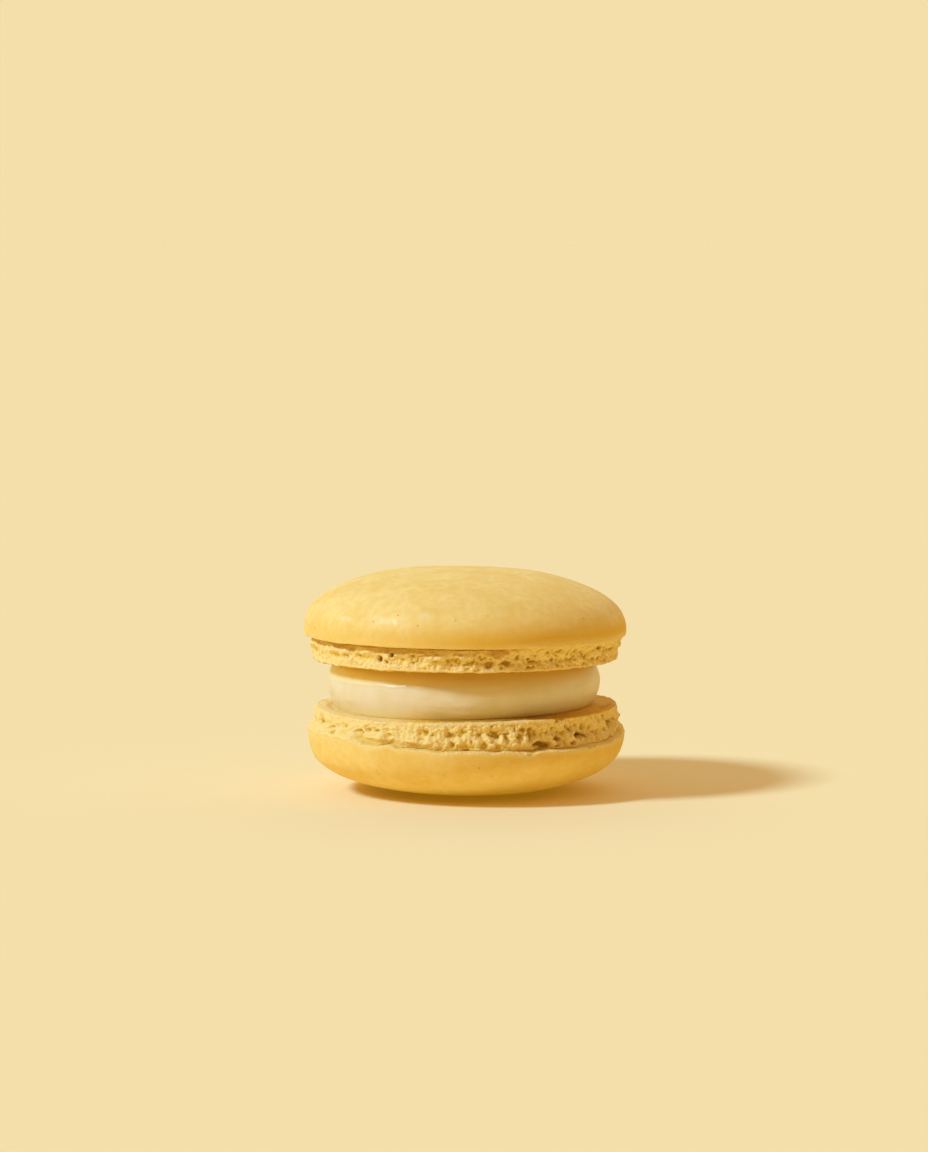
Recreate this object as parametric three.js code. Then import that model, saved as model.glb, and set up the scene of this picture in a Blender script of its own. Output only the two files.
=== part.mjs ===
// A French macaron: two almond meringue shells with a disc of buttercream between them.
//
// A shell is piped on a flat sheet and baked. Its smooth skin lifts into a dome, and under the dome's lip the
// batter bursts out in a ragged ring, the foot. The lower shell is the same thing turned over, so that the two
// flat baked faces hold the filling, and the macaron rests on a small flat spot of its lower dome.
//
// Millimetres, +Z up. The origin is the middle of that flat spot.
import * as THREE from "three";

// Driving dimensions of a shell as it is baked: its flat face down, at height 0.
const TOP = {
  diameter: 45, // across the shoulder, the widest ring of the dome
  footDiameter: 42.8, // across the foot, at the flat face
  flare: 0.45, // how far the foot's wall leans out on its way up to the crease
  footHeight: 3.3, // from the flat face up to the crease under the lip
  creaseDepth: 0.6, // how far the crease cuts in behind the foot
  creaseLean: -0.4, // share by which it is deeper on the +X side and shallower on the -X side
  creaseWave: 0.1, // how far it wanders up and down
  shoulderHeight: 4.1, // where the dome's arch is centred
  height: 12.6,
  fullness: 2.33, // 2 makes the dome an ellipse, and more makes it squarer
  lopsided: 0.25, // how much higher the dome stands on its -X side, and lower on its +X side
  restRadius: 0,
  offset: -0.12, // along X
  seed: 11,
};
const BOTTOM = {
  diameter: 44.3,
  footDiameter: 42.2,
  flare: 0.75,
  footHeight: 3.75,
  creaseDepth: 0.5,
  creaseLean: 0.7,
  creaseWave: 0.3,
  shoulderHeight: 3.4,
  height: 12,
  fullness: 2.56,
  lopsided: 0,
  restRadius: 5, // the flat spot that it stands on
  offset: 0,
  seed: 47,
};
const FILLING = {
  diameter: 38, // across its bulge
  bulge: 1.15, // how far the side swells past the discs that it touches
  height: 6.45,
  offset: -0.25,
  seed: 83,
};
// The lower shell's flat face isn't quite level. It rises by these shares towards +X and +Y.
const SLOPE = { x: 0.017, y: 0.009 };

// The foot's edge and lip, the same on both shells.
const EDGE_ROUND = 0.4; // round edge between the flat face and the foot's wall
const LIP_GAP = 0.12; // how far the crease opens between the foot and the lip
const LIP_TUCK = 0.3; // how far the lip's under-edge lies inside the shoulder
const LIP_ROUND = 0.3; // height of that under-edge

// Unevenness: how far a surface moves, and the size across of the lumps that move it.
const OUTLINE = { depth: 0.16, size: 13 };
const DOME = { depth: 0.22, size: 9 };
const CREASE = { size: 5 };
const CLUMP = { depth: 0.42, size: 2.8, flatten: 1.6 }; // clumps of crumb are wider than tall
const CRAG = { depth: 0.3, size: 1.5, flatten: 1.2 };
const PIT = { depth: 0.8, size: 2.2 }; // bubbles that burst through the foot's wall
const GROOVE = { depth: 0.4, width: 0.45, size: 6, level: 0.5, wander: 0.2 }; // between the foot's two rises
const PIPING_TIP = { height: 0.25, radius: 2.6, x: -0.4, y: -0.6 }; // where the piping bag left the top shell

const SHELL_COLUMNS = 132;
const FILLING_COLUMNS = 96;
const WALL_ROWS = 8; // rows of the foot's wall
const LIP_ROWS = 2; // round the lip's under-edge
const DOME_ROWS = 8; // from the lip to the apex
const BULGE_ROWS = 8;

const { smoothstep, lerp } = THREE.MathUtils;

// A repeatable number from 0 to 1 for a lattice cell, by mixing the bits of its three indices and a seed.
function hash(i, j, k, seed) {
  let h = Math.imul(i, 0x27d4eb2d) ^ Math.imul(j, 0x165667b1) ^ Math.imul(k, 0x1b873593) ^ Math.imul(seed, 0x85ebca6b);
  h = Math.imul(h ^ (h >>> 15), 0x2c1b3c6d);
  h = Math.imul(h ^ (h >>> 12), 0x297a2d39);
  return ((h ^ (h >>> 15)) >>> 0) / 2 ** 32;
}

// Smooth noise from -1 to 1, in lumps about `size` across and `size / flatten` tall.
function lumps(x, y, z, { size, flatten = 1 }, seed) {
  const at = [x / size, y / size, (z * flatten) / size];
  const low = at.map(Math.floor);
  const share = at.map((value, axis) => smoothstep(value - low[axis], 0, 1));
  let sum = 0;
  for (let corner = 0; corner < 8; corner++) {
    const step = [corner & 1, (corner >> 1) & 1, corner >> 2];
    const weight = step.reduce((product, far, axis) => product * (far ? share[axis] : 1 - share[axis]), 1);
    sum += weight * hash(low[0] + step[0], low[1] + step[1], low[2] + step[2], seed);
  }
  return 2 * sum - 1;
}

// How deep a point lies in the bubble around it, from 0 outside all bubbles to 1 at the middle of the largest.
// There is one bubble in each cell of a lattice, at a random place and of a random radius.
function bubble(x, y, z, { size }, seed) {
  const point = new THREE.Vector3(x, y, z).divideScalar(size);
  const cell = point.clone().floor();
  const centre = new THREE.Vector3();
  let deepest = 0;
  for (let n = 0; n < 27; n++) {
    const i = cell.x + (n % 3) - 1;
    const j = cell.y + (Math.floor(n / 3) % 3) - 1;
    const k = cell.z + Math.floor(n / 9) - 1;
    centre.set(i + hash(i, j, k, seed + 1), j + hash(i, j, k, seed + 2), k + hash(i, j, k, seed + 3));
    const radius = lerp(0.15, 0.55, hash(i, j, k, seed + 4));
    deepest = Math.max(deepest, radius ** 2 - centre.distanceToSquared(point));
  }
  return Math.sqrt(deepest) / 0.55;
}

// A shell's half outline, from the middle of its flat face, out along the face, up the foot's wall, in at the
// crease, round the lip and over the dome to its apex.
function shellOutline(shell) {
  const { footHeight, flare, creaseDepth, shoulderHeight, height, fullness, restRadius } = shell;
  const radius = shell.diameter / 2;
  const footRadius = shell.footDiameter / 2;
  const points = [
    new THREE.Vector2(0, 0),
    new THREE.Vector2(FILLING.diameter / 2 + 0.5, 0),
    new THREE.Vector2(footRadius - EDGE_ROUND, 0),
  ];
  for (let row = 0; row < WALL_ROWS; row++) {
    const z = lerp(EDGE_ROUND, footHeight - EDGE_ROUND, row / (WALL_ROWS - 1));
    points.push(new THREE.Vector2(footRadius + (flare * z) / footHeight, z));
  }
  points.push(new THREE.Vector2(footRadius + flare - creaseDepth, footHeight));
  for (let row = 0; row < LIP_ROWS; row++) {
    const turn = ((row / LIP_ROWS) * Math.PI) / 2;
    const z = footHeight + LIP_GAP + LIP_ROUND * (1 - Math.cos(turn));
    points.push(new THREE.Vector2(radius - LIP_TUCK * (1 - Math.sin(turn)), z));
  }
  // The dome is part of a superellipse, from the lip up to the apex or to the flat spot.
  const apex = Math.acos((restRadius / radius) ** (fullness / 2));
  const rise = (height - shoulderHeight) / Math.sin(apex) ** (2 / fullness);
  const above = (footHeight + LIP_GAP + LIP_ROUND - shoulderHeight) / rise;
  const start = Math.sign(above) * Math.asin(Math.abs(above) ** (fullness / 2));
  for (let row = 0; row <= DOME_ROWS; row++) {
    const turn = lerp(start, apex, row / DOME_ROWS);
    const r = radius * Math.max(0, Math.cos(turn)) ** (2 / fullness);
    const lift = Math.sign(turn) * Math.abs(Math.sin(turn)) ** (2 / fullness);
    points.push(new THREE.Vector2(r, shoulderHeight + rise * lift));
  }
  if (restRadius > 0) {
    points.push(new THREE.Vector2(0, height));
  } else {
    points.at(-1).setX(0);
  }
  return points;
}

// How far a point of a shell moves outwards: the outline wanders a little all the way up, and the foot is torn
// into clumps, crags and pits, with a groove round it and a crease above it.
function push(x, y, z, { footHeight, creaseDepth, creaseLean, seed }) {
  const torn = smoothstep(z, 0, 0.6 * footHeight) * (1 - smoothstep(z, footHeight, footHeight + LIP_GAP));
  const grooveHeight = footHeight * (GROOVE.level + GROOVE.wander * lumps(x, y, 0, GROOVE, seed + 50));
  const groove = Math.exp(-(((z - grooveHeight) / GROOVE.width) ** 2)) * (1 + lumps(x, y, 0, GROOVE, seed + 60));
  const crease = Math.exp(-(((z - footHeight) / LIP_GAP) ** 2));
  return (
    OUTLINE.depth * lumps(x, y, z, OUTLINE, seed) +
    torn * CLUMP.depth * lumps(x, y, z, CLUMP, seed + 10) +
    torn * CRAG.depth * lumps(x, y, z, CRAG, seed + 20) -
    torn * PIT.depth * bubble(x, y, z, PIT, seed + 30) -
    (torn * GROOVE.depth * groove) / 2 -
    (crease * creaseDepth * creaseLean * x) / Math.hypot(x, y)
  );
}

// How far it moves up: the crease wanders, and the dome swells softly and leans, down to its flat spot.
function lift(x, y, z, { diameter, footHeight, creaseWave, shoulderHeight, height, lopsided, restRadius, seed }) {
  const lipHeight = footHeight + LIP_GAP + LIP_ROUND;
  const nearCrease = smoothstep(z, 0, footHeight) * (1 - smoothstep(z, lipHeight, lipHeight + 3));
  const onDome = smoothstep(z, shoulderHeight, height) * smoothstep(Math.hypot(x, y), restRadius, restRadius + 3);
  return (
    nearCrease * creaseWave * lumps(x, y, 0, CREASE, seed + 70) +
    onDome * DOME.depth * lumps(x, y, z, DOME, seed + 40) -
    (smoothstep(z, lipHeight, lipHeight + 2) * lopsided * x) / (diameter / 2)
  );
}

function roughenShell(geometry, shell) {
  const position = geometry.getAttribute("position");
  for (let n = 0; n < position.count; n++) {
    const [x, y, z] = [position.getX(n), position.getY(n), position.getZ(n)];
    const r = Math.hypot(x, y);
    const scale = r > 0 ? 1 + push(x, y, z, shell) / r : 1;
    const top = shell.restRadius > 0 ? shell.height : Infinity;
    position.setXYZ(n, x * scale, y * scale, r > 0 ? Math.min(z + lift(x, y, z, shell), top) : z);
  }
}

// Raises the little tip that the piping bag leaves at the middle of a dome.
function raisePipingTip(geometry, { shoulderHeight }) {
  const position = geometry.getAttribute("position");
  for (let n = 0; n < position.count; n++) {
    const away = Math.hypot(position.getX(n) - PIPING_TIP.x, position.getY(n) - PIPING_TIP.y) / PIPING_TIP.radius;
    if (position.getZ(n) > shoulderHeight) {
      position.setZ(n, position.getZ(n) + PIPING_TIP.height * Math.exp(-(away ** 2)));
    }
  }
}

// A shell as it is baked, flat face down.
function makeShell(shell) {
  const geometry = new THREE.LatheGeometry(shellOutline(shell), SHELL_COLUMNS);
  geometry.rotateX(Math.PI / 2); // the lathe turns about Y
  roughenShell(geometry, shell);
  return geometry;
}

// The filling's outline is a disc whose side swells in a parabola between its two flat faces.
function makeFilling({ diameter, bulge, height, seed }) {
  const points = [new THREE.Vector2(0, 0)];
  for (let row = 0; row <= BULGE_ROWS; row++) {
    const level = row / BULGE_ROWS;
    const swell = 1 - (2 * level - 1) ** 2;
    points.push(new THREE.Vector2(diameter / 2 - bulge * (1 - swell), height * level));
  }
  points.push(new THREE.Vector2(0, height));
  const geometry = new THREE.LatheGeometry(points, FILLING_COLUMNS);
  geometry.rotateX(Math.PI / 2);
  const position = geometry.getAttribute("position");
  for (let n = 0; n < position.count; n++) {
    const [x, y, z] = [position.getX(n), position.getY(n), position.getZ(n)];
    const r = Math.hypot(x, y);
    const scale = r > 0 ? 1 + (OUTLINE.depth * lumps(x, y, z, OUTLINE, seed)) / r : 1;
    position.setXY(n, x * scale, y * scale);
  }
  return geometry;
}

// Slopes a placed mesh as the lower shell's flat face slopes. The slope is full at that face, and fades out down
// to the flat spot and up to the top shell.
function layCrooked({ geometry, position: place }) {
  const position = geometry.getAttribute("position");
  for (let n = 0; n < position.count; n++) {
    const z = position.getZ(n) + place.z;
    const share = z < BOTTOM.height ? z / BOTTOM.height : 1 - (z - BOTTOM.height) / FILLING.height;
    const rise = SLOPE.x * (position.getX(n) + place.x) + SLOPE.y * (position.getY(n) + place.y);
    position.setZ(n, position.getZ(n) + share * rise);
  }
}

const meringue = new THREE.MeshStandardMaterial({ color: "#f0cd7c", roughness: 0.62, metalness: 0 });
const buttercream = new THREE.MeshStandardMaterial({ color: "#f1e3bd", roughness: 0.4, metalness: 0 });

const bottomShell = new THREE.Mesh(makeShell(BOTTOM), meringue);
bottomShell.name = "bottom_shell";
bottomShell.geometry.rotateX(Math.PI); // dome down
bottomShell.position.set(BOTTOM.offset, 0, BOTTOM.height);
layCrooked(bottomShell);

const filling = new THREE.Mesh(makeFilling(FILLING), buttercream);
filling.name = "filling";
filling.position.set(FILLING.offset, 0, BOTTOM.height);
layCrooked(filling);

const topShell = new THREE.Mesh(makeShell(TOP), meringue);
topShell.name = "top_shell";
raisePipingTip(topShell.geometry, TOP);
topShell.position.set(TOP.offset, 0, BOTTOM.height + FILLING.height);

const macaron = new THREE.Group();
macaron.add(bottomShell, filling, topShell);

export default macaron;
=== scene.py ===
import bpy
import numpy as np
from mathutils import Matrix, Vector


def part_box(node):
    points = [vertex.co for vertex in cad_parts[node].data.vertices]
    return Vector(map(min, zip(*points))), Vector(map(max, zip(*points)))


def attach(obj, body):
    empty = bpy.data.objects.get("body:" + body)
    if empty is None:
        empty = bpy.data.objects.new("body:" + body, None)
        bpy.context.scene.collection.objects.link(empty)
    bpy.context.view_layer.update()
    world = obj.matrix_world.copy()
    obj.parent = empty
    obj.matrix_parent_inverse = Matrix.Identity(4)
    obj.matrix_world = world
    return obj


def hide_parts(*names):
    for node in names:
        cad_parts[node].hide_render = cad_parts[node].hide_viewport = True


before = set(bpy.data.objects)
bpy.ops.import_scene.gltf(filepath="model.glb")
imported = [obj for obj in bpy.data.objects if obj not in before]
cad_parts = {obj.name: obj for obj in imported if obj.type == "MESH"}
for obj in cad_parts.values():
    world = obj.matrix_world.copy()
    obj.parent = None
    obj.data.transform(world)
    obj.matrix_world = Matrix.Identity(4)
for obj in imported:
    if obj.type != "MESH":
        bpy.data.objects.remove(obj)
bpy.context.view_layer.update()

# ---------------------------------------------------------------------------------------------------- camera
# A long lens looks at the macaron's -Y side from a little above. It stands more than half a metre away, so
# that the shells and the filling keep their true proportions.
LENS = 130  # mm, on a 36 mm sensor
CAMERA_PLACE = (-0.000275, -0.57675, 0.07832)
CAMERA_DIP = 4.8  # degrees below level

camera = bpy.data.objects.new("camera", bpy.data.cameras.new("camera"))
camera.data.lens = LENS
camera.location = CAMERA_PLACE
camera.rotation_euler = (np.radians(90 - CAMERA_DIP), 0, 0)
bpy.context.scene.collection.objects.link(camera)
bpy.context.scene.camera = camera

# ---------------------------------------------------------------------------------------------- bottom shell
# The lower shell is a dome of almond meringue, baked on its flat face and turned over. Its smooth skin
# lifted in the oven, and under the skin's lip the batter burst out in a ragged ring of crumb, the foot. It
# stands on a small flat spot of the dome, and its flat face, which isn't quite level, holds the filling.
MM = 0.001

TOP_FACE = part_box("top_shell")[0][2] / MM  # height of the top shell's flat face
FILLING_HEIGHT = 6.45
BOTTOM_FACE = TOP_FACE - FILLING_HEIGHT
SLOPE_X, SLOPE_Y = 0.017, 0.009  # how the lower shell's flat face rises towards +X and +Y

# A shell as it is baked, flat face down at height 0, in mm. What changes round it is given at a few turns, in
# degrees about its axis from +X towards +Y, and runs evenly from each turn to the next.
BOTTOM = dict(
    diameter=44.3,
    foot_diameter=42.2,
    flare=0.75,  # how far the foot's wall leans out on its way up to the crease
    foot_height=3.75,
    crease_depth=0.5,
    crease_lean=0.7,  # share by which the crease is deeper on the +X side and shallower on the -X side
    crease_wave=0,  # how far the crease wanders in a random wave, besides its level
    crease_ripple=0.14,  # how far it ripples in short steps
    # How far the crease lies above the foot's height.
    crease_level={
        180: -1, 150: -1.2, 132: -0.85, 128: -0.4, 124: -0.44, 118: -0.8, 115: -0.22, 105: -0.22, 99: 0.1,
        88: 0.05, 76: 0.25, 68: 0.45, 61: 0.4, 50: 0.55, 40: 0.45, 26: 0.4, 17: 0.1, 8: -0.3, 0: -0.45,
        -30: -0.4, -90: 0.1, -140: -0.6,
    },
    shoulder_height=3.4,  # where the dome is widest
    height=BOTTOM_FACE,
    fullness=2.56,  # the power of the dome's superellipse: 2 is an ellipse, and more is boxier
    lopsided=0,  # how far the dome sinks on the +X side and rises on the -X side
    rest_radius=5,  # of the flat spot, 0 for none
    torn_lip=0.5,  # how far the tears run over the lip
    # How wide the crease gapes, from 0 to 1, and how deep the wall falls back where it gapes most.
    gape={
        180: 0, 137: 0, 131: 0.6, 110: 0.8, 97: 0.7, 75: 0.5, 62: 0.8, 45: 0.4, 15: 0.3, -30: 0.6, -90: 0.9,
        -140: 0.4,
    },
    gape_depth=1,
    # How coarse the foot's crumb is, 1 for most of it.
    coarse={
        180: 0.1, 130: 0.15, 112: 0.3, 98: 0.6, 88: 1, 70: 1, 50: 1.2, 20: 1.1, 0: 0.9, -60: 1, -120: 0.7,
    },
    # How deeply the skin just above the lip is baked, partly as painted shade of the lower dome, and the flat
    # face's tone, mostly painted shadow where the filling and the top shell shade it: 1 is golden and 2 is
    # brown.
    baked={180: 0.05, 110: 0.2, 75: 0.4, 0: 0.6, -90: 0.4},
    face_crust_and_shade={180: 0, 125: 0.3, 100: 1.6, 60: 2, 45: 1.5, 20: 1, 0: 0.8, -90: 0.6, -140: 0.3},
    # How far the flat face's crust, with its painted shadow, runs over its edge. It stops short of the edge
    # where this is less than 0.
    crust_edge={180: -0.8, 90: -1.1, 69: -0.9, 61: 0, 52: 0.45, 42: 0.36, 33: 0.45, 10: 0.3, 0: 0, -90: 0},
    # How far the rim of the flat face stands out from it.
    rim_raised={180: 0.5, 160: 0.4, 140: 0.1, 120: 0, -130: 0, -150: 0.3},
    # The foot's largest burst bubbles: turn, height, half width, half height and depth.
    caves=[
        (148, 2.25, 0.6, 0.42, 0.38),
        (142, 1.3, 0.45, 0.18, 0.3),
        (132, 1.75, 0.24, 0.2, 0.35),
        (125, 1.2, 0.42, 0.2, 0.3),
        (105, 1.3, 0.2, 0.22, 0.42),
        (103, 1.8, 0.22, 0.22, 0.38),
        (99, 1.6, 0.18, 0.56, 0.3),
        (95, 2.8, 0.36, 0.36, 0.6),
        (84, 3, 0.56, 0.5, 0.52),
        (79, 3.2, 0.44, 0.36, 0.68),
        (76, 1.75, 0.58, 0.22, 0.6),
        (75, 2.7, 0.5, 0.7, 0.45),
        (72, 1, 0.3, 0.28, 0.52),
        (68, 1.4, 0.68, 0.35, 0.68),
        (65, 1.3, 0.32, 0.35, 0.52),
        (60, 3.5, 1.9, 0.5, 1.25),
        (60, 1.5, 0.24, 0.28, 0.5),
        (54, 0.5, 0.42, 0.28, 0.5),
        (53, 2.85, 1, 0.32, 1.2),
        (53, 3.6, 0.5, 0.22, 1.1),
        (49, 1.4, 0.36, 0.3, 1.2),
        (45.5, 3.55, 0.5, 0.28, 1.1),
        (45, 1.3, 0.29, 0.16, 0.6),
        (42, 2.8, 1.35, 0.5, 2.4),
        (38, 3.1, 0.43, 0.28, 1.1),
        (25, 1, 0.58, 0.42, 0.7),
        (25, 2.7, 0.8, 0.28, 0.9),
        (18, 2.2, 1.3, 0.5, 1.8),
    ],
    # Its largest clumps: turn, height, half width, half height and how far they stand out.
    clumps=[
        (89, 2.1, 1.0, 0.55, 0.35),
        (81, 2.3, 0.5, 0.5, 0.3),
        (72, 1.8, 0.6, 0.5, 0.35),
        (70, 2.8, 1.4, 0.5, 0.4),
        (66.5, 2.2, 0.5, 0.6, 0.4),
        (55, 3.4, 1.0, 0.32, 0.6),
    ],
    # Cracks in the flat face, with shade painted into them: where they start and end, and their half width
    # and depth.
    cracks=[((18.5, 5.6), (20.9, -0.8), 0.85, 0.3)],
    seed=47,
)

EDGE_ROUND = 0.4  # radius of the foot's two edges
LIP_GAP = 0.12  # height of the crease
LIP_ROUND = 0.3  # height of the lip's rounded edge
LIP_TUCK = 0.3  # how far the lip's edge turns in

FACE_PLAIN = 0.86  # share of the foot's radius that the plain middle of the flat face takes
FACE_COLUMNS = 320
FACE_ROWS = 12
FOOT_COLUMNS = 1280
FOOT_ROWS = 62
DOME_COLUMNS = 256
DOME_ROWS = 50
DOME_STEPS = 400  # points that the dome's curve is worked out at, before it is divided evenly

# The odd numbers and the shifts that turn a cell's indices and a seed into an even spread of bits.
INDEX_MIX = (0x27D4EB2D, 0x165667B1, 0x1B873593)
SEED_MIX = 0x85EBCA6B
STIRS = ((15, 0x2C1B3C6D), (12, 0x297A2D39))
LAST_SHIFT = 15
WORD = 2**32


def cell_number(i, j, k, seed):
    """A repeatable number from 0 to 1 for each lattice cell: its three indices and the seed, each times a
    large odd number, are joined bit by bit and then stirred by shifts and products."""
    mixed = np.uint32(seed * SEED_MIX % WORD)
    for index, odd in zip((i, j, k), INDEX_MIX):
        mixed = mixed ^ index.astype(np.int64).astype(np.uint32) * np.uint32(odd)
    for shift, odd in STIRS:
        mixed = (mixed ^ mixed >> shift) * np.uint32(odd)
    return (mixed ^ mixed >> LAST_SHIFT) / WORD


def smoothstep(value, low, high):
    """0 up to low, 1 from high, and 3t^2 - 2t^3 of the share t of the way between them."""
    t = np.clip((value - low) / (high - low), 0, 1)
    return t * t * (3 - 2 * t)


def bell(value, middle, half_width):
    """The bell curve e^-t^2, 1 at its middle, where t is the distance from there over the half width."""
    return np.exp(-(((value - middle) / half_width) ** 2))


def lumps(x, y, z, size, seed, flatten=1):
    """Smooth noise from -1 to 1: a random number at each lattice point, and between them the smoothstep blend
    of the eight nearest. Above 1, flatten makes the lumps wider than they are high."""
    at = (x / size, y / size, z * flatten / size)
    low = [np.floor(a) for a in at]
    share = [smoothstep(a - b, 0, 1) for a, b in zip(at, low)]
    total = 0
    for corner in np.ndindex(2, 2, 2):
        weight = 1
        for far, part in zip(corner, share):
            weight = weight * (part if far else 1 - part)
        total = total + weight * cell_number(*(b + far for b, far in zip(low, corner)), seed)
    return 2 * total - 1


def bubbles(x, y, z, size, seed, flatten=1, least=0.15, most=0.55):
    """Round bubbles, one at a random place in each lattice cell, with radii from least to most of a cell. The
    value is the root of radius^2 - distance^2 for the bubble that a point is deepest in, over the largest
    radius, so 0 outside all and 1 at the middle of the largest."""
    at = (x / size, y / size, z * flatten / size)
    cell = [np.floor(a) for a in at]
    deepest = 0
    for step in np.ndindex(3, 3, 3):
        index = [c + s - 1 for c, s in zip(cell, step)]
        middle = [i + cell_number(*index, seed + 1 + n) for n, i in enumerate(index)]
        apart = sum((m - a) ** 2 for m, a in zip(middle, at))
        radius = least + (most - least) * cell_number(*index, seed + 4)
        deepest = np.maximum(deepest, radius**2 - apart)
    return np.sqrt(deepest) / most


def around(turn, places):
    """A value that is given at a few turns round the shell, and runs evenly from each to the next."""
    return np.interp(turn, *np.array(sorted(places.items())).T, period=360)


def evenly(line, count):
    """count points at equal steps along a line of (r, z) points."""
    line = np.asarray(line, float)
    along = np.append(0, np.cumsum(np.hypot(*np.diff(line, axis=0).T)))
    steps = np.linspace(0, along[-1], count)
    return np.column_stack([np.interp(steps, along, part) for part in line.T])


def arc(centre, radii, start, end, count=12):
    """Points of an ellipse's arc: centre + radii * (cos t, sin t), for t from start to end in degrees."""
    t = np.radians(np.linspace(start, end, count))
    return np.column_stack([centre[0] + radii[0] * np.cos(t), centre[1] + radii[1] * np.sin(t)])


def shell_outline(shell):
    """A shell's half outline in three runs of (r, z): its flat face, its foot up to the lip, and its dome.
    The dome is part of the superellipse |r/R|^n + |z/H|^n = 1, up to the apex or to the flat spot."""
    radius, foot = shell["diameter"] / 2, shell["foot_diameter"] / 2
    crease, flare = shell["foot_height"], shell["flare"]
    inner = foot + flare - shell["crease_depth"]
    wall_top = foot + flare * (1 - EDGE_ROUND / crease)
    lip = crease + LIP_GAP + LIP_ROUND
    power = 2 / shell["fullness"]
    apex = np.arccos((shell["rest_radius"] / radius) ** (1 / power))
    rise = (shell["height"] - shell["shoulder_height"]) / np.sin(apex) ** power
    above = (lip - shell["shoulder_height"]) / rise
    turn = np.linspace(np.sign(above) * np.arcsin(abs(above) ** (1 / power)), apex, DOME_STEPS)
    dome = np.column_stack([
        radius * np.maximum(0, np.cos(turn)) ** power,
        shell["shoulder_height"] + rise * np.sign(turn) * np.abs(np.sin(turn)) ** power,
    ])
    face = [(FACE_PLAIN * foot, 0), (foot - EDGE_ROUND, 0)]
    wall = np.vstack([
        arc((foot - EDGE_ROUND, EDGE_ROUND), (EDGE_ROUND, EDGE_ROUND), -90, 0),
        arc((inner, crease - EDGE_ROUND), (wall_top - inner, EDGE_ROUND), 0, 90),
        [(inner, crease + LIP_GAP)],
        arc((dome[0, 0] - LIP_TUCK, lip), (LIP_TUCK, LIP_ROUND), -90, 0),
    ])
    return evenly(face, FACE_ROWS), evenly(wall, FOOT_ROWS), evenly(dome, DOME_ROWS + 1)[1:]


# The coarse relief that the crumb lies on: how far it reaches, and the size of its lumps.
WANDER, WANDER_SIZE = 0.16, 13
BULGE, BULGE_SIZE = 0.42, 2.8
CRAG, CRAG_SIZE = 0.3, 1.5
PIT, PIT_SIZE = 0.8, 2.2
GROOVE, GROOVE_SIZE, GROOVE_HALF_HEIGHT = 0.4, 6, 0.45
GROOVE_LEVEL, GROOVE_WANDER = 0.5, 0.2  # shares of the foot's height
TORN_SHARE = 0.6  # of the foot's height, from which it is fully torn
SWELL, SWELL_SIZE = 0.22, 9
WAVE_SIZE = 5
RIPPLE_SIZE = 1.3
FADE = 3  # the width over which the crease's wandering and the dome's swelling die out
LEAN_RISE = 2  # the height above the lip over which the dome's lean sets in


def outward(x, y, z, shell):
    """How far each point moves out from the axis. The outline wanders a little all the way up. The foot
    bulges into crags, sinks into pits, and has a groove round it, and its crease is deeper on one side."""
    crease, seed = shell["foot_height"], shell["seed"]
    torn = smoothstep(z, 0, TORN_SHARE * crease) * (1 - smoothstep(z, crease, crease + LIP_GAP))
    groove_height = crease * (GROOVE_LEVEL + GROOVE_WANDER * lumps(x, y, 0 * z, GROOVE_SIZE, seed + 50))
    groove = bell(z, groove_height, GROOVE_HALF_HEIGHT)
    groove = groove * (1 + lumps(x, y, 0 * z, GROOVE_SIZE, seed + 60)) / 2
    return (
        WANDER * lumps(x, y, z, WANDER_SIZE, seed)
        + torn * BULGE * lumps(x, y, z, BULGE_SIZE, seed + 10, flatten=1.6)
        + torn * CRAG * lumps(x, y, z, CRAG_SIZE, seed + 20, flatten=1.2)
        - torn * PIT * bubbles(x, y, z, PIT_SIZE, seed + 30)
        - torn * GROOVE * groove
        - bell(z, crease, LIP_GAP) * shell["crease_depth"] * shell["crease_lean"] * x / np.hypot(x, y)
    )


def upward(x, y, z, shell):
    """How far each point moves up: the crease wanders and ripples, and the dome swells softly, down to its
    flat spot, and leans."""
    lip = shell["foot_height"] + LIP_GAP + LIP_ROUND
    near_crease = smoothstep(z, 0, shell["foot_height"]) * (1 - smoothstep(z, lip, lip + FADE))
    level = around(np.degrees(np.arctan2(y, x)), shell["crease_level"])
    clear = smoothstep(np.hypot(x, y), shell["rest_radius"], shell["rest_radius"] + FADE)
    on_dome = smoothstep(z, shell["shoulder_height"], shell["height"]) * clear
    return (
        near_crease * (level + shell["crease_wave"] * lumps(x, y, 0 * z, WAVE_SIZE, shell["seed"] + 70))
        + near_crease**3 * shell["crease_ripple"] * lumps(x, y, 0 * z, RIPPLE_SIZE, shell["seed"] + 75)
        + on_dome * SWELL * lumps(x, y, z, SWELL_SIZE, shell["seed"] + 40)
        - smoothstep(z, lip, lip + LEAN_RISE) * shell["lopsided"] * x / (shell["diameter"] / 2)
    )


RIM_START, RIM_FULL = 2.6, 1.4  # how far in from its edge the flat face's rim starts, and is full
RIM_FADING, RIM_END = 0.6, 1.4  # how far up the foot it begins to fade, and ends
RIM_GRAIN, RIM_GRAIN_SIZE = 0.14, 0.9


def rim_relief(x, y, r, z, turn, shell):
    """How far the flat face's rim sinks in: round grains with gaps between them, less what it stands out."""
    foot = shell["foot_diameter"] / 2
    rim = smoothstep(r, foot - RIM_START, foot - RIM_FULL) * (1 - smoothstep(z, RIM_FADING, RIM_END))
    grains = bubbles(x, y, z, RIM_GRAIN_SIZE, shell["seed"] + 200, least=0.25, most=0.8)
    return rim * (RIM_GRAIN * (1 - grains) - around(turn, shell["rim_raised"]))


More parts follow.
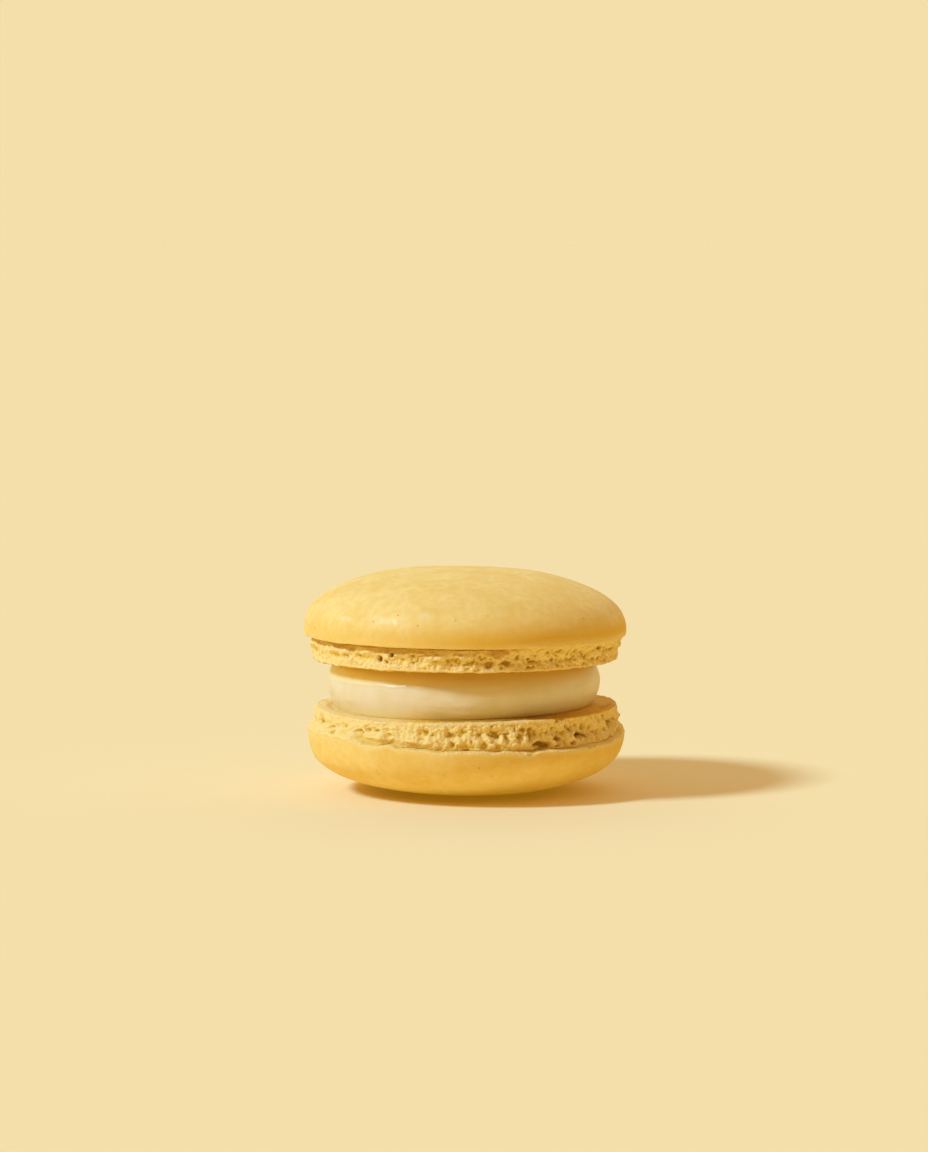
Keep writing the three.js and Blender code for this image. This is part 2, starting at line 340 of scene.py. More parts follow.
def cracked(x, y, cracks):
    """How deep each point lies in a list of straight cracks: from the depth on a crack's line, a smoothstep
    falls to 0 at its sides."""
    deepest = 0
    for start, end, half_width, depth in cracks:
        run = np.subtract(end, start)
        share = ((x - start[0]) * run[0] + (y - start[1]) * run[1]) / (run @ run)
        share = np.clip(share, 0, 1)
        apart = np.hypot(x - start[0] - share * run[0], y - start[1] - share * run[1])
        deepest = np.maximum(deepest, depth * (1 - smoothstep(apart, 0, half_width)))
    return deepest


def ragged(x, y, z, reach, size, seed):
    """The points moved by smooth noise along each axis, which makes round forms ragged."""
    return [part + reach * lumps(x, y, z, size, seed + n) for n, part in enumerate((x, y, z))]


ELLIPSE_REACH, ELLIPSE_RIM = 1.4, 1.2  # in squared half sizes: where an ellipse ends, and its sloping part


def on_wall(x, y, z, places):
    """The largest of a list of ellipses on the foot's wall at each point. Each is its depth times a
    smoothstep of the reach less (aside/half width)^2 and (above/half height)^2, so full in its middle."""
    turn, r = np.arctan2(y, x), np.hypot(x, y)
    largest = 0
    for place, height, half_width, half_height, depth in places:
        aside = r * (np.mod(turn - np.radians(place) + np.pi, 2 * np.pi) - np.pi)
        inside = ELLIPSE_REACH - (aside / half_width) ** 2 - ((z - height) / half_height) ** 2
        largest = np.maximum(largest, depth * smoothstep(inside, 0, ELLIPSE_RIM))
    return largest


TEAR_SIZE = 1.7
# The crumb's round grains in three sizes, with their heights and how far they sink the wall between them,
# and its burst bubbles in two sizes, with their depths.
CLUMP_SIZE, CLUMP_HEIGHT, CLUMP_SINK = 1.45, 0.55, 0.4
GRAIN_SIZE, GRAIN_HEIGHT, GRAIN_SINK = 0.62, 0.34, 0.24
FINE_SIZE, FINE_HEIGHT, FINE_SINK = 0.36, 0.2, 0.14
BURST_SIZE, BURST_DEPTH = 1.05, 0.2
SMALL_BURST_SIZE, SMALL_BURST_DEPTH = 0.8, 0.25
CRUMB_START, CRUMB_FULL = 0.1, 0.45  # heights above the flat face at which the crumb starts, and is full
TORN_CRUMB_START, TORN_CRUMB_SHARE = 0.25, 0.5  # the same for the coarse crumb, as a height and a share
# How far below the crease the crumb starts to fade behind the lip, and has faded, and the same where the wall
# joins the lip. In both places it keeps what FADED leaves.
RECESS_START, RECESS_FULL = 0.9, 0.4
JOIN_START = 1
FADED = 0.6
# How much of the grains and of the fine crumb is there where the crumb is finest.
GRAINY_LEAST, PRICKED_LEAST = 0.25, 0.3


def torn_height(x, y, shell):
    """The height up to which the foot is torn: the crease, and here and there a little over the lip."""
    over = np.maximum(0, lumps(x, y, 0 * x, TEAR_SIZE, shell["seed"] + 80))
    return shell["foot_height"] + shell["torn_lip"] * over


def crumb(x, y, z, shell):
    """The foot's fine relief: round grains of crumb in three sizes, with burst bubbles between them. It is
    weaker at the baked edge, where the crumb is fine, and near the lip, where the wall lies back or joins."""
    crease, seed = shell["foot_height"], shell["seed"]
    turn = np.degrees(np.arctan2(y, x))
    top = torn_height(x, y, shell)
    gape, coarse = around(turn, shell["gape"]), around(turn, shell["coarse"])
    behind = gape * smoothstep(z, crease - RECESS_START, crease - RECESS_FULL)
    joined = (1 - gape) * smoothstep(z, crease - JOIN_START, crease)
    wall = smoothstep(z, CRUMB_START, CRUMB_FULL) * (1 - smoothstep(z, top, top + LIP_GAP))
    wall = wall * (1 - FADED * behind - FADED * joined)
    torn = smoothstep(z, TORN_CRUMB_START, TORN_CRUMB_SHARE * crease) * wall * coarse
    grainy = wall * (GRAINY_LEAST + (1 - GRAINY_LEAST) * coarse)
    pricked = wall * (PRICKED_LEAST + (1 - PRICKED_LEAST) * coarse)
    x, y, z = ragged(x, y, z, reach=0.12, size=0.9, seed=seed + 140)
    clumps = bubbles(x, y, z, CLUMP_SIZE, seed + 100, flatten=1.1, least=0.3, most=0.8)
    grains = bubbles(x, y, z, GRAIN_SIZE, seed + 105, least=0.25, most=0.8)
    fine = bubbles(x, y, z, FINE_SIZE, seed + 115, least=0.25, most=0.8)
    return (
        torn * (CLUMP_HEIGHT * clumps - CLUMP_SINK)
        + grainy * (GRAIN_HEIGHT * grains - GRAIN_SINK)
        + pricked * (FINE_HEIGHT * fine - FINE_SINK)
        - torn * BURST_DEPTH * bubbles(x, y, z, BURST_SIZE, seed + 110, flatten=1.1, least=0, most=0.36)
        - pricked * SMALL_BURST_DEPTH * bubbles(x, y, z, SMALL_BURST_SIZE, seed + 120, least=0, most=0.34)
    )


BEND = 0.5  # share of the foot's height from which a shut crease's wall runs out to the lip
FALL_START, FALL_FULL = 1, 0.3  # how far below an open crease the wall starts to fall back, and has


def opened(r, z, turn, shell):
    """Opens or shuts the crease: where it gapes, the wall falls back under the lip, and where it doesn't, the
    wall runs out to the lip in a soft S."""
    crease = shell["foot_height"]
    gape = around(turn, shell["gape"])
    bend = BEND * crease
    row = np.abs(z[:, 0] - bend).argmin()
    curve = r[row] + (r[-1] - r[row]) * smoothstep(z, bend, z[-1, 0])
    shut = (1 - gape) * smoothstep(z, bend, crease - EDGE_ROUND) * (curve - r)
    back = smoothstep(z, crease - FALL_START, crease - FALL_FULL)
    back = back * (1 - smoothstep(z, crease, crease + LIP_GAP))
    return r + np.maximum(shut, 0) - gape * shell["gape_depth"] * back


def neighbourhood(relief, reach):
    """The mean of each point's square of neighbours, reach steps each way, on a strip closed on itself."""
    rows = np.pad(relief, ((reach, reach), (0, 0)), mode="edge")
    across = sum(np.roll(rows, step, axis=1) for step in range(-reach, reach + 1))
    both = sum(across[step : step + len(relief)] for step in range(2 * reach + 1))
    return both / (2 * reach + 1) ** 2


CAVE_SHARE, CAVE_LESS = 0.6, 0.25  # a cave sinks by this share of its depth, or by its depth less this much
# How many steps each way a point's near and wide surroundings reach, and how far they stand out past it where
# it counts as a full hollow. How hollow a point is paints shade into the crumb's colour.
NEAR_REACH, NEAR_DEPTH = 2, 0.24
WIDE_REACH, WIDE_DEPTH = 9, 0.6
HOLLOW_LEAST, HOLLOW_MOST = 0.08, 0.8  # what every point starts with, and the most that these come to
RECESS_LESS = 0.6  # how much lower that most painted shade is where the wall lies back under the lip
DEEP_CAVE_LESS = 0.3  # a cave's painted shade is as strong as it is deep in mm, less this
SEAM_HALF_HEIGHT, SEAM_SHADE_SHARE = 0.15, 0.8  # the painted shade of the seam at the top of an open crease


def foot_wall(x, y, z, up, moved, r, turn, shell):
    """How far out the foot's points lie with its crumb, caves and clumps, and how far each is in a hollow,
    from 0 to 1, for painted shade: by how much its surroundings stand out past it, by its cave, and by the
    crease's seam."""
    crease, seed = shell["foot_height"], shell["seed"]
    gape = around(turn, shell["gape"])
    place = ragged(x, y, up, reach=0.3, size=1.2, seed=seed + 170)
    place = ragged(*place, reach=0.17, size=0.45, seed=seed + 180)
    burst, clump = (on_wall(*place, shell[kind]) for kind in ("caves", "clumps"))
    moved = moved + (crumb(x, y, z, shell) - np.maximum(CAVE_SHARE * burst, burst - CAVE_LESS) + clump)
    moved = neighbourhood(moved, 1)
    relief = moved - r
    near, wide = (neighbourhood(relief, reach) - relief for reach in (NEAR_REACH, WIDE_REACH))
    recess = gape * smoothstep(z, crease - RECESS_START, crease - RECESS_FULL)
    hollow = near / NEAR_DEPTH + wide / WIDE_DEPTH + burst / 2 + HOLLOW_LEAST
    hollow = np.minimum(hollow, HOLLOW_MOST - RECESS_LESS * recess)
    seam = gape * bell(z, crease, SEAM_HALF_HEIGHT)
    return moved, np.clip(np.maximum.reduce([hollow, burst - DEEP_CAVE_LESS, SEAM_SHADE_SHARE * seam]), 0, 1)


CRUST_FADE = 0.2  # the height over which the flat face's crust and painted shadow turn into crumb
SHUT_FADE = 1.2  # how much further above a shut crease the crumb turns into skin
LIP_HALF_HEIGHT = 0.25
# The baked band of the skin, partly painted shade of the lower dome: heights above the lip at which it
# starts, is full, begins to fade and ends.
BAKED_START, BAKED_FULL, BAKED_FADING, BAKED_END = -0.25, 0.05, 0.5, 3.5
CRACK_SHADE = 2  # how much painted shade a crack gets, for each mm of its depth


def skin_marks(x, y, r, z, turn, crack, shell):
    """Three marks of each point, from 0 up: how much it is crumb, how near it is to the lip's edge, and how
    deeply it is baked or painted with shade: painted shadow on the flat face, painted shade in its cracks,
    and the baked skin just above the lip, partly painted shade."""
    crease = shell["foot_height"]
    lip = crease + LIP_GAP + LIP_ROUND
    kinds = ("gape", "crust_edge", "face_crust_and_shade", "baked")
    gape, edge, face_crust_shade, skin_deep = (around(turn, shell[kind]) for kind in kinds)
    inside = np.maximum(0, shell["foot_diameter"] / 2 - EDGE_ROUND - r)
    on_face = 1 - smoothstep(z - inside, edge - CRUST_FADE, edge)
    top = torn_height(x, y, shell)
    fade = LIP_GAP + LIP_ROUND + SHUT_FADE * (1 - gape)
    is_crumb = (1 - on_face * np.minimum(face_crust_shade, 1)) * (1 - smoothstep(z, top, top + fade))
    is_lip = gape * bell(z, lip, LIP_HALF_HEIGHT)
    low_skin = smoothstep(z, lip + BAKED_START, lip + BAKED_FULL)
    low_skin = low_skin * (1 - smoothstep(z, lip + BAKED_FADING, lip + BAKED_END))
    # The flat face's crust and painted shadow, or the skin's baked band, plus painted shade in cracks.
    baked_and_shade = np.where(z < crease, face_crust_shade * on_face, skin_deep * low_skin) + CRACK_SHADE * crack
    return is_crumb, is_lip, baked_and_shade


CRACK_END = 0.3  # how far up the foot's edge a crack runs


def shell_zones(shell):
    """The shell's surface as three grids of points, one for each run of its outline, each turned about the
    axis and moved by its unevenness. With them come the points' marks: crumb, hollow for painted shade,
    lip, which carries a painted highlight, and baked for baked tone and painted shade."""
    zones, marks = [], {"crumb": [], "hollow": [], "lip": [], "baked": []}
    for run, columns in zip(shell_outline(shell), (FACE_COLUMNS, FOOT_COLUMNS, DOME_COLUMNS)):
        turn = np.linspace(0, 2 * np.pi, columns, endpoint=False)
        degrees = np.degrees(turn)
        r, z = run[:, :1] + 0 * turn, run[:, 1:] + 0 * turn
        x, y = r * np.cos(turn), r * np.sin(turn)
        moved = r + outward(x, y, z, shell)
        crack = (1 - smoothstep(z, 0, CRACK_END)) * cracked(x, y, shell["cracks"])
        up = z + upward(x, y, z, shell) + (rim_relief(x, y, r, z, degrees, shell) + crack)
        hollow = 0 * r
        if columns == FOOT_COLUMNS:
            moved = opened(moved, z, degrees, shell)
            x, y = moved * np.cos(turn), moved * np.sin(turn)
            moved, hollow = foot_wall(x, y, z, up, moved, r, degrees, shell)
        if shell["rest_radius"]:
            up = np.minimum(up, shell["height"])
        zones.append(np.stack([moved * np.cos(turn), moved * np.sin(turn), up], axis=-1))
        is_crumb, is_lip, baked_and_shade = skin_marks(x, y, r, z, degrees, crack, shell)
        for mark, values in zip(marks, (is_crumb, hollow, is_lip, baked_and_shade)):
            marks[mark].append(values)
    return zones, marks


def ring_faces(lower, upper):
    """Faces between two closed rings of vertex numbers. Where one ring is finer, each step of the coarser one
    takes all the finer steps beside it in one face."""
    few = min(len(lower), len(upper))
    wrap = [np.append(ring, ring[0]) for ring in (lower, upper)]
    stride = [len(ring) // few for ring in (lower, upper)]
    sides = [
        np.stack([ring[k : k + step * (few - 1) + 1 : step] for k in range(step + 1)], axis=1)
        for ring, step in zip(wrap, stride)
    ]
    return np.hstack([sides[0], sides[1][:, ::-1]]).tolist()


def closed_mesh(name, zones, marks, bottom, top):
    """A closed mesh from grids of points, ring by ring from its bottom pole to its top pole, in mm. Each mark
    is kept as an attribute of the points, and is 0 at the poles."""
    points, rings = [np.array([bottom])], []
    count = 1
    for zone in zones:
        for ring in zone:
            rings.append(np.arange(count, count + len(ring)))
            points.append(ring)
            count += len(ring)
    points.append(np.array([top]))
    faces = [[0, b, a] for a, b in zip(rings[0], np.roll(rings[0], -1))]
    for lower, upper in zip(rings[:-1], rings[1:]):
        faces += ring_faces(lower, upper)
    faces += [[a, b, count] for a, b in zip(rings[-1], np.roll(rings[-1], -1))]
    mesh = bpy.data.meshes.new(name)
    mesh.from_pydata((np.vstack(points) * MM).tolist(), [], faces)
    mesh.polygons.foreach_set("use_smooth", np.ones(len(mesh.polygons), bool))
    for mark, parts in marks.items():
        values = np.concatenate([[0], *(part.ravel() for part in parts), [0]])
        mesh.attributes.new(mark, "FLOAT", "POINT").data.foreach_set("value", values.astype(np.float32))
    piece = bpy.data.objects.new(name, mesh)
    bpy.context.scene.collection.objects.link(piece)
    return piece


def within_box(zones, node):
    """Draws grids of points together evenly along each axis, until they are inside a node's box."""
    low, high = np.array(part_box(node)) / MM
    points = np.vstack([zone.reshape(-1, 3) for zone in zones])
    least, most = points.min(axis=0), points.max(axis=0)
    new_least, new_most = np.maximum(least, low), np.minimum(most, high)
    return [new_least + (zone - least) * (new_most - new_least) / (most - least) for zone in zones]


def slope(points):
    """Tilts points as the lower shell's flat face is tilted: fully at that face, and evenly less towards the
    floor and the top shell, where they stay level."""
    x, y, z = np.moveaxis(points, -1, 0)
    share = np.where(z < BOTTOM_FACE, z / BOTTOM_FACE, (TOP_FACE - z) / FILLING_HEIGHT)
    return np.stack([x, y, z + share * (SLOPE_X * x + SLOPE_Y * y)], axis=-1)


turned_over = np.array([1, -1, -1])
zones, marks = shell_zones(BOTTOM)
zones = within_box([slope(zone * turned_over + (0, 0, BOTTOM_FACE)) for zone in zones], "bottom_shell")
bottom_shell = closed_mesh("lower_shell", zones, marks, (0, 0, BOTTOM_FACE), (0, 0, 0))


def add_node(tree, kind, inputs=(), **settings):
    """A new node of a kind, with its settings and inputs: a given socket is linked, and a value is set."""
    node = tree.nodes.new(f"ShaderNode{kind}")
    for name, value in settings.items():
        setattr(node, name, value)
    for name, value in dict(inputs).items():
        if isinstance(value, bpy.types.NodeSocket):
            tree.links.new(value, node.inputs[name])
        else:
            node.inputs[name].default_value = value
    return node


def blend(tree, share, low, high):
    """A colour that runs from low to high with share."""
    node = add_node(tree, "Mix", data_type="RGBA", clamp_factor=True)
    for socket, value in zip((node.inputs[0], node.inputs[6], node.inputs[7]), (share, low, high)):
        if isinstance(value, bpy.types.NodeSocket):
            tree.links.new(value, socket)
        else:
            socket.default_value = value
    return node.outputs[2]


def ramp(tree, value, low, high, to_low=0, to_high=1):
    """A number that runs smoothly from to_low to to_high as value goes from low to high."""
    inputs = {"Value": value, "From Min": low, "From Max": high, "To Min": to_low, "To Max": to_high}
    return add_node(tree, "MapRange", inputs, interpolation_type="SMOOTHSTEP").outputs["Result"]


def reckon(tree, operation, *values):
    """The result of one Math node."""
    return add_node(tree, "Math", dict(enumerate(values)), operation=operation).outputs[0]


def reckon_vector(tree, operation, *values):
    """The outputs of one Vector Math node, Vector and Value."""
    return add_node(tree, "VectorMath", dict(enumerate(values)), operation=operation).outputs


def attribute(tree, name):
    """A mark that the mesh carries at its points."""
    return add_node(tree, "Attribute", attribute_name=name).outputs["Fac"]


# What every baked or whipped surface here has: soft patches of tone, and a fine grain. Sizes are in mm.
unevenness = bpy.data.node_groups.new("unevenness", "ShaderNodeTree")
for socket_name, socket_kind in (("Place", "Vector"), ("Patch Size", "Float"), ("Grain Size", "Float")):
    unevenness.interface.new_socket(socket_name, in_out="INPUT", socket_type=f"NodeSocket{socket_kind}")
for socket_name in ("Patches", "Grain"):
    unevenness.interface.new_socket(socket_name, in_out="OUTPUT", socket_type="NodeSocketFloat")
given = unevenness.nodes.new("NodeGroupInput").outputs
result = unevenness.nodes.new("NodeGroupOutput").inputs
for size_name, detail, output_name in (("Patch Size", 3, "Patches"), ("Grain Size", 2, "Grain")):
    per_metre = reckon(unevenness, "DIVIDE", 1 / MM, given[size_name])
    noise = add_node(unevenness, "TexNoise", {"Vector": given["Place"], "Scale": per_metre, "Detail": detail})
    unevenness.links.new(ramp(unevenness, noise.outputs["Fac"], 0.3, 0.7), result[output_name])


def uneven(tree, place, patch_size, grain_size):
    """The patches and the grain of the shared group, for sizes in mm."""
    node = add_node(tree, "Group", node_tree=unevenness)
    tree.links.new(place, node.inputs["Place"])
    node.inputs["Patch Size"].default_value = patch_size
    node.inputs["Grain Size"].default_value = grain_size
    return node.outputs


def link_surface(tree, sockets):
    """The material's Principled BSDF, with a mask, colour or normal linked to each named socket."""
    surface = tree.nodes["Principled BSDF"]
    for name, value in sockets.items():
        tree.links.new(value, surface.inputs[name])
    return surface


SKIN_PALE = (0.895, 0.665, 0.285, 1)
SKIN_DEEP = (0.825, 0.562, 0.176, 1)
# Golden baked tone. On the flat face and just above the lip it is partly painted shade.
SKIN_BAKED = (0.770, 0.455, 0.055, 1)
# Painted shadow on the flat face, where the filling and the top shell shade it.
SKIN_SHADOW_BROWN = (0.360, 0.170, 0.008, 1)
# A painted highlight: the pale sheen of the lamp on the skin.
SKIN_HIGHLIGHT = (0.860, 0.740, 0.480, 1)
PINHOLE = (0.680, 0.400, 0.100, 1)
# A painted highlight along the lip's edge, where the crease gapes.
LIP_HIGHLIGHT = (0.930, 0.700, 0.300, 1)
CRUMB_PALE = (0.905, 0.692, 0.350, 1)
# The crumb's middle tone, for its random grain, and its painted half shade in hollows.
CRUMB_TONE_AND_HALF_SHADE = (0.845, 0.590, 0.150, 1)
# Painted shade deep in the crumb's hollows and caves.
CRUMB_SHADED = (0.350, 0.170, 0.010, 1)
# The skin's tone: sizes in mm of its soft clouds and its speckles, each with the size of its grain, and how
# much each counts.
CLOUD_SIZE, CLOUD_GRAIN, CLOUD_SHARE = 5, 0.45, 0.55
SPECKLE_SIZE, SPECKLE_GRAIN, SPECKLE_SHARE = 1.1, 0.22, 0.45
PINHOLE_SPACING = 1.6  # mm
# Where a pale highlight, the lamp's sheen, is painted on the top shell's skin, as middle and half size
# in mm.
PAINTED_HIGHLIGHTS = (
    ((-10.6, -19, 25.4), (2.3, 4, 0.55)),
    ((-5.5, -20.9, 26.3), (1.3, 4, 0.6)),
    ((-16.4, -14.5, 25.3), (1.2, 4, 0.4)),
)
HIGHLIGHT_SHARE = 0.6
LIP_HIGHLIGHT_SHARE = 0.15
CRUMB_SPECKLE_SHARE = 0.4
# Heights in mm of the bump on the skin and on the crumb.
SKIN_FINE_BUMP, CRUMB_FINE_BUMP = 0.010, 0.05
SKIN_BUMP, CRUMB_BUMP = 0.012, 0.06
PINHOLE_DEPTH = 0.08
MOST_COAT = 0.3
SATIN, DULL = 0.55, 0.85

meringue = bpy.data.materials.new("meringue")
meringue.use_nodes = True
tree = meringue.node_tree
place = add_node(tree, "TexCoord").outputs["Object"]
is_crumb, hollow_shade = attribute(tree, "crumb"), attribute(tree, "hollow")
is_lip, baked_and_shade = attribute(tree, "lip"), attribute(tree, "baked")
clouds = uneven(tree, place, CLOUD_SIZE, CLOUD_GRAIN)
speckle = uneven(tree, place, SPECKLE_SIZE, SPECKLE_GRAIN)
pores = add_node(tree, "TexVoronoi", {"Vector": place, "Scale": 1 / (PINHOLE_SPACING * MM)})
pinholes = ramp(tree, pores.outputs["Distance"], 0.04, 0.09, to_low=1, to_high=0)

# Painted highlights where the lamp's sheen falls on the top shell, broken up by the grain.
painted_highlight = 0
for centre, reach in PAINTED_HIGHLIGHTS:
    apart = reckon_vector(tree, "SUBTRACT", place, [c * MM for c in centre])["Vector"]
    apart = reckon_vector(tree, "DIVIDE", apart, [r * MM for r in reach])["Vector"]
    apart = reckon_vector(tree, "LENGTH", apart)["Value"]
    painted_highlight = reckon(tree, "ADD", painted_highlight, ramp(tree, apart, 0.2, 1.3, to_low=1, to_high=0))
painted_highlight = reckon(tree, "MULTIPLY", painted_highlight, ramp(tree, clouds["Grain"], 0, 0.8, to_low=0.35))

cloudy = reckon(tree, "MULTIPLY", clouds["Patches"], CLOUD_SHARE)
speckled = reckon(tree, "MULTIPLY", speckle["Patches"], SPECKLE_SHARE)
skin = blend(tree, reckon(tree, "ADD", cloudy, speckled), SKIN_DEEP, SKIN_PALE)
# Golden baked tone and painted shade, and past 1 brown painted shadow on the flat face.
skin = blend(tree, baked_and_shade, skin, SKIN_BAKED)
skin = blend(tree, reckon(tree, "SUBTRACT", baked_and_shade, 1), skin, SKIN_SHADOW_BROWN)
# The painted highlight of the lamp's sheen.
skin = blend(tree, reckon(tree, "MULTIPLY", painted_highlight, HIGHLIGHT_SHARE), skin, SKIN_HIGHLIGHT)
skin = blend(tree, pinholes, skin, PINHOLE)
# The painted highlight along the lip's edge.
skin = blend(tree, reckon(tree, "MULTIPLY", is_lip, LIP_HIGHLIGHT_SHARE), skin, LIP_HIGHLIGHT)
# Painted shade in the crumb's hollows, deepest in the caves and the crease's seam.
foot = blend(tree, ramp(tree, hollow_shade, 0.15, 0.55), CRUMB_PALE, CRUMB_TONE_AND_HALF_SHADE)
foot = blend(tree, ramp(tree, hollow_shade, 0.5, 1), foot, CRUMB_SHADED)
foot = blend(tree, reckon(tree, "MULTIPLY", speckle["Grain"], CRUMB_SPECKLE_SHARE), foot, CRUMB_TONE_AND_HALF_SHADE)
colour = blend(tree, is_crumb, skin, foot)

glossy = ramp(tree, clouds["Patches"], 0.45, 0.8)
for share in (
    ramp(tree, speckle["Patches"], 0.1, 0.9),
    ramp(tree, is_crumb, 0, 0.5, to_low=MOST_COAT, to_high=0),
    ramp(tree, is_lip, 0, 0.5, to_low=1, to_high=0),
):
    glossy = reckon(tree, "MULTIPLY", glossy, share)
rough_places = reckon(tree, "MAXIMUM", reckon(tree, "MAXIMUM", is_crumb, is_lip), baked_and_shade)
dull = ramp(tree, rough_places, 0, 1, SATIN, DULL)
fine_bump = ramp(tree, is_crumb, 0, 1, SKIN_FINE_BUMP, CRUMB_FINE_BUMP)
coarse_bump = ramp(tree, is_crumb, 0, 1, SKIN_BUMP, CRUMB_BUMP)
height = reckon(tree, "MULTIPLY", speckle["Grain"], fine_bump)
height = reckon(tree, "ADD", height, reckon(tree, "MULTIPLY", clouds["Grain"], coarse_bump))
height = reckon(tree, "SUBTRACT", height, reckon(tree, "MULTIPLY", pinholes, PINHOLE_DEPTH))
normal = add_node(tree, "Bump", {"Height": height, "Distance": MM}).outputs["Normal"]
surface = link_surface(
    tree, {"Base Color": colour, "Roughness": dull, "Coat Weight": glossy, "Normal": normal}
)
surface.inputs["Coat Roughness"].default_value = 0.3
surface.inputs["Specular IOR Level"].default_value = 0.25
surface.inputs["Subsurface Weight"].default_value = 0.2
surface.inputs["Subsurface Scale"].default_value = 0.5 * MM
surface.inputs["Subsurface Radius"].default_value = (1, 0.6, 0.25)

bottom_shell.data.materials.append(meringue)
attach(bottom_shell, "root")
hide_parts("bottom_shell")

# --------------------------------------------------------------------------------------------------- filling
# A thick disc of buttercream, piped on the lower shell's flat face and pressed by the top shell, so that its
# side swells. The side is smooth and faintly rippled, with shade painted into it under the top shell, and
# warm bounce light painted at its bottom and upper left.
FILLING_DIAMETER = 38
FILLING_BULGE = 1.15  # how much wider it is halfway up than at its top and bottom
FILLING_OFFSET = -0.25
FILLING_SEED = 83
FILLING_ROWS = 90
FILLING_COLUMNS = 960
# Round the filling: the share of its height that has painted shade under the top shell, how much warm
# bounce light is painted near the top, and how far a thin fold that runs round it shows.
TOP_SHADE_REACH = {180: 0.12, -140: 0.2, -110: 0.4, -90: 0.65, -60: 0.6, -35: 0.35, 0: 0.2, 90: 0.5}
BOUNCE_LIT = {180: 1, -140: 1, -110: 0.8, -90: 0.1, 0: 0, 90: 0}
FOLDED = {-180: 0.2, -160: 0.5, -135: 1, -112: 1, -100: 0.2, -60: 0, 0: 0.3, 90: 0}
FOLD_HEIGHT, FOLD_WANDER, FOLD_HALF_HEIGHT, FOLD_DEPTH = 4.3, 0.25, 0.18, 0.08
RIPPLE_DEPTH = 0.05
LONG_SWELL, SHORT_SWELL = 0.16, 0.06
# The painted warm bounce light, in shares of the height: how strong it is at the bottom and where it ends
# there, and where it starts and is full near the top.
LOW_BOUNCE, LOW_BOUNCE_END, TOP_BOUNCE_START, TOP_BOUNCE_FULL = 0.6, 0.3, 0.62, 0.82

level = np.linspace(0, 1, FILLING_ROWS)[:, None]
turn = np.linspace(0, 2 * np.pi, FILLING_COLUMNS, endpoint=False)
r = FILLING_DIAMETER / 2 - FILLING_BULGE * (2 * level - 1) ** 2 + 0 * turn
x, y, z = r * np.cos(turn), r * np.sin(turn), FILLING_HEIGHT * level + 0 * turn
ripples = RIPPLE_DEPTH * lumps(x, y, z, size=2.6, seed=FILLING_SEED + 10, flatten=4)
ripples *= smoothstep(lumps(x, y, z, size=5, seed=FILLING_SEED + 20), -0.2, 0.4)
fold_height = FOLD_HEIGHT + FOLD_WANDER * lumps(x, y, 0 * z, size=3, seed=FILLING_SEED + 30)
broken = smoothstep(lumps(x, y, 0 * z, size=1.2, seed=FILLING_SEED + 40), -0.6, 0.2)
folded = around(np.degrees(turn), FOLDED) * broken
ripples += FOLD_DEPTH * folded * bell(z, fold_height, FOLD_HALF_HEIGHT)
swelling = LONG_SWELL * lumps(x, y, z, size=13, seed=FILLING_SEED)
swelling += SHORT_SWELL * lumps(x, y, z, size=4, seed=FILLING_SEED + 5, flatten=2)
scale = 1 + (swelling + ripples) / r
side = np.stack([x * scale + FILLING_OFFSET, y * scale, z + BOTTOM_FACE], axis=-1)
zones = within_box([slope(side)], "filling")
# Painted shade under the top shell, and painted warm bounce light at the bottom and near the top.
painted_top_shade = smoothstep(level, 1 - around(np.degrees(turn), TOP_SHADE_REACH), 1)
painted_bounce = LOW_BOUNCE * (1 - smoothstep(level, 0, LOW_BOUNCE_END))
painted_bounce = painted_bounce + smoothstep(level, TOP_BOUNCE_START, TOP_BOUNCE_FULL) * around(np.degrees(turn), BOUNCE_LIT)
marks = {"painted_top_shade": [painted_top_shade], "painted_bounce": [painted_bounce]}
filling = closed_mesh("cream_filling", zones, marks, (0, 0, BOTTOM_FACE), (0, 0, TOP_FACE))

CREAM_PALE = (0.800, 0.690, 0.560, 1)
CREAM_DEEP = (0.760, 0.640, 0.470, 1)
# Painted shade under the top shell, and painted warm bounce light.
CREAM_SHADED = (0.700, 0.480, 0.130, 1)
CREAM_BOUNCE_LIT = (0.975, 0.810, 0.370, 1)
CREAM_PATCHES, CREAM_GRAIN = 3, 0.5  # sizes in mm
CREAM_BUMP = 0.012  # mm
CREAM_SATIN, CREAM_GLOSS = 0.42, 0.32

cream = bpy.data.materials.new("buttercream")
cream.use_nodes = True
tree = cream.node_tree
streaks = uneven(tree, add_node(tree, "TexCoord").outputs["Object"], CREAM_PATCHES, CREAM_GRAIN)
colour = blend(tree, streaks["Patches"], CREAM_DEEP, CREAM_PALE)
# Painted warm bounce light, then painted shade under the top shell.
colour = blend(tree, attribute(tree, "painted_bounce"), colour, CREAM_BOUNCE_LIT)
colour = blend(tree, attribute(tree, "painted_top_shade"), colour, CREAM_SHADED)
dull = ramp(tree, streaks["Patches"], 0, 1, CREAM_SATIN, CREAM_GLOSS)
height = reckon(tree, "MULTIPLY", streaks["Grain"], CREAM_BUMP)
normal = add_node(tree, "Bump", {"Height": height, "Distance": MM}).outputs["Normal"]
surface = link_surface(tree, {"Base Color": colour, "Roughness": dull, "Normal": normal})
surface.inputs["Subsurface Weight"].default_value = 0.35
surface.inputs["Subsurface Scale"].default_value = 1 * MM
surface.inputs["Subsurface Radius"].default_value = (1, 0.7, 0.4)

filling.data.materials.append(cream)
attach(filling, "root")
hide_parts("filling")

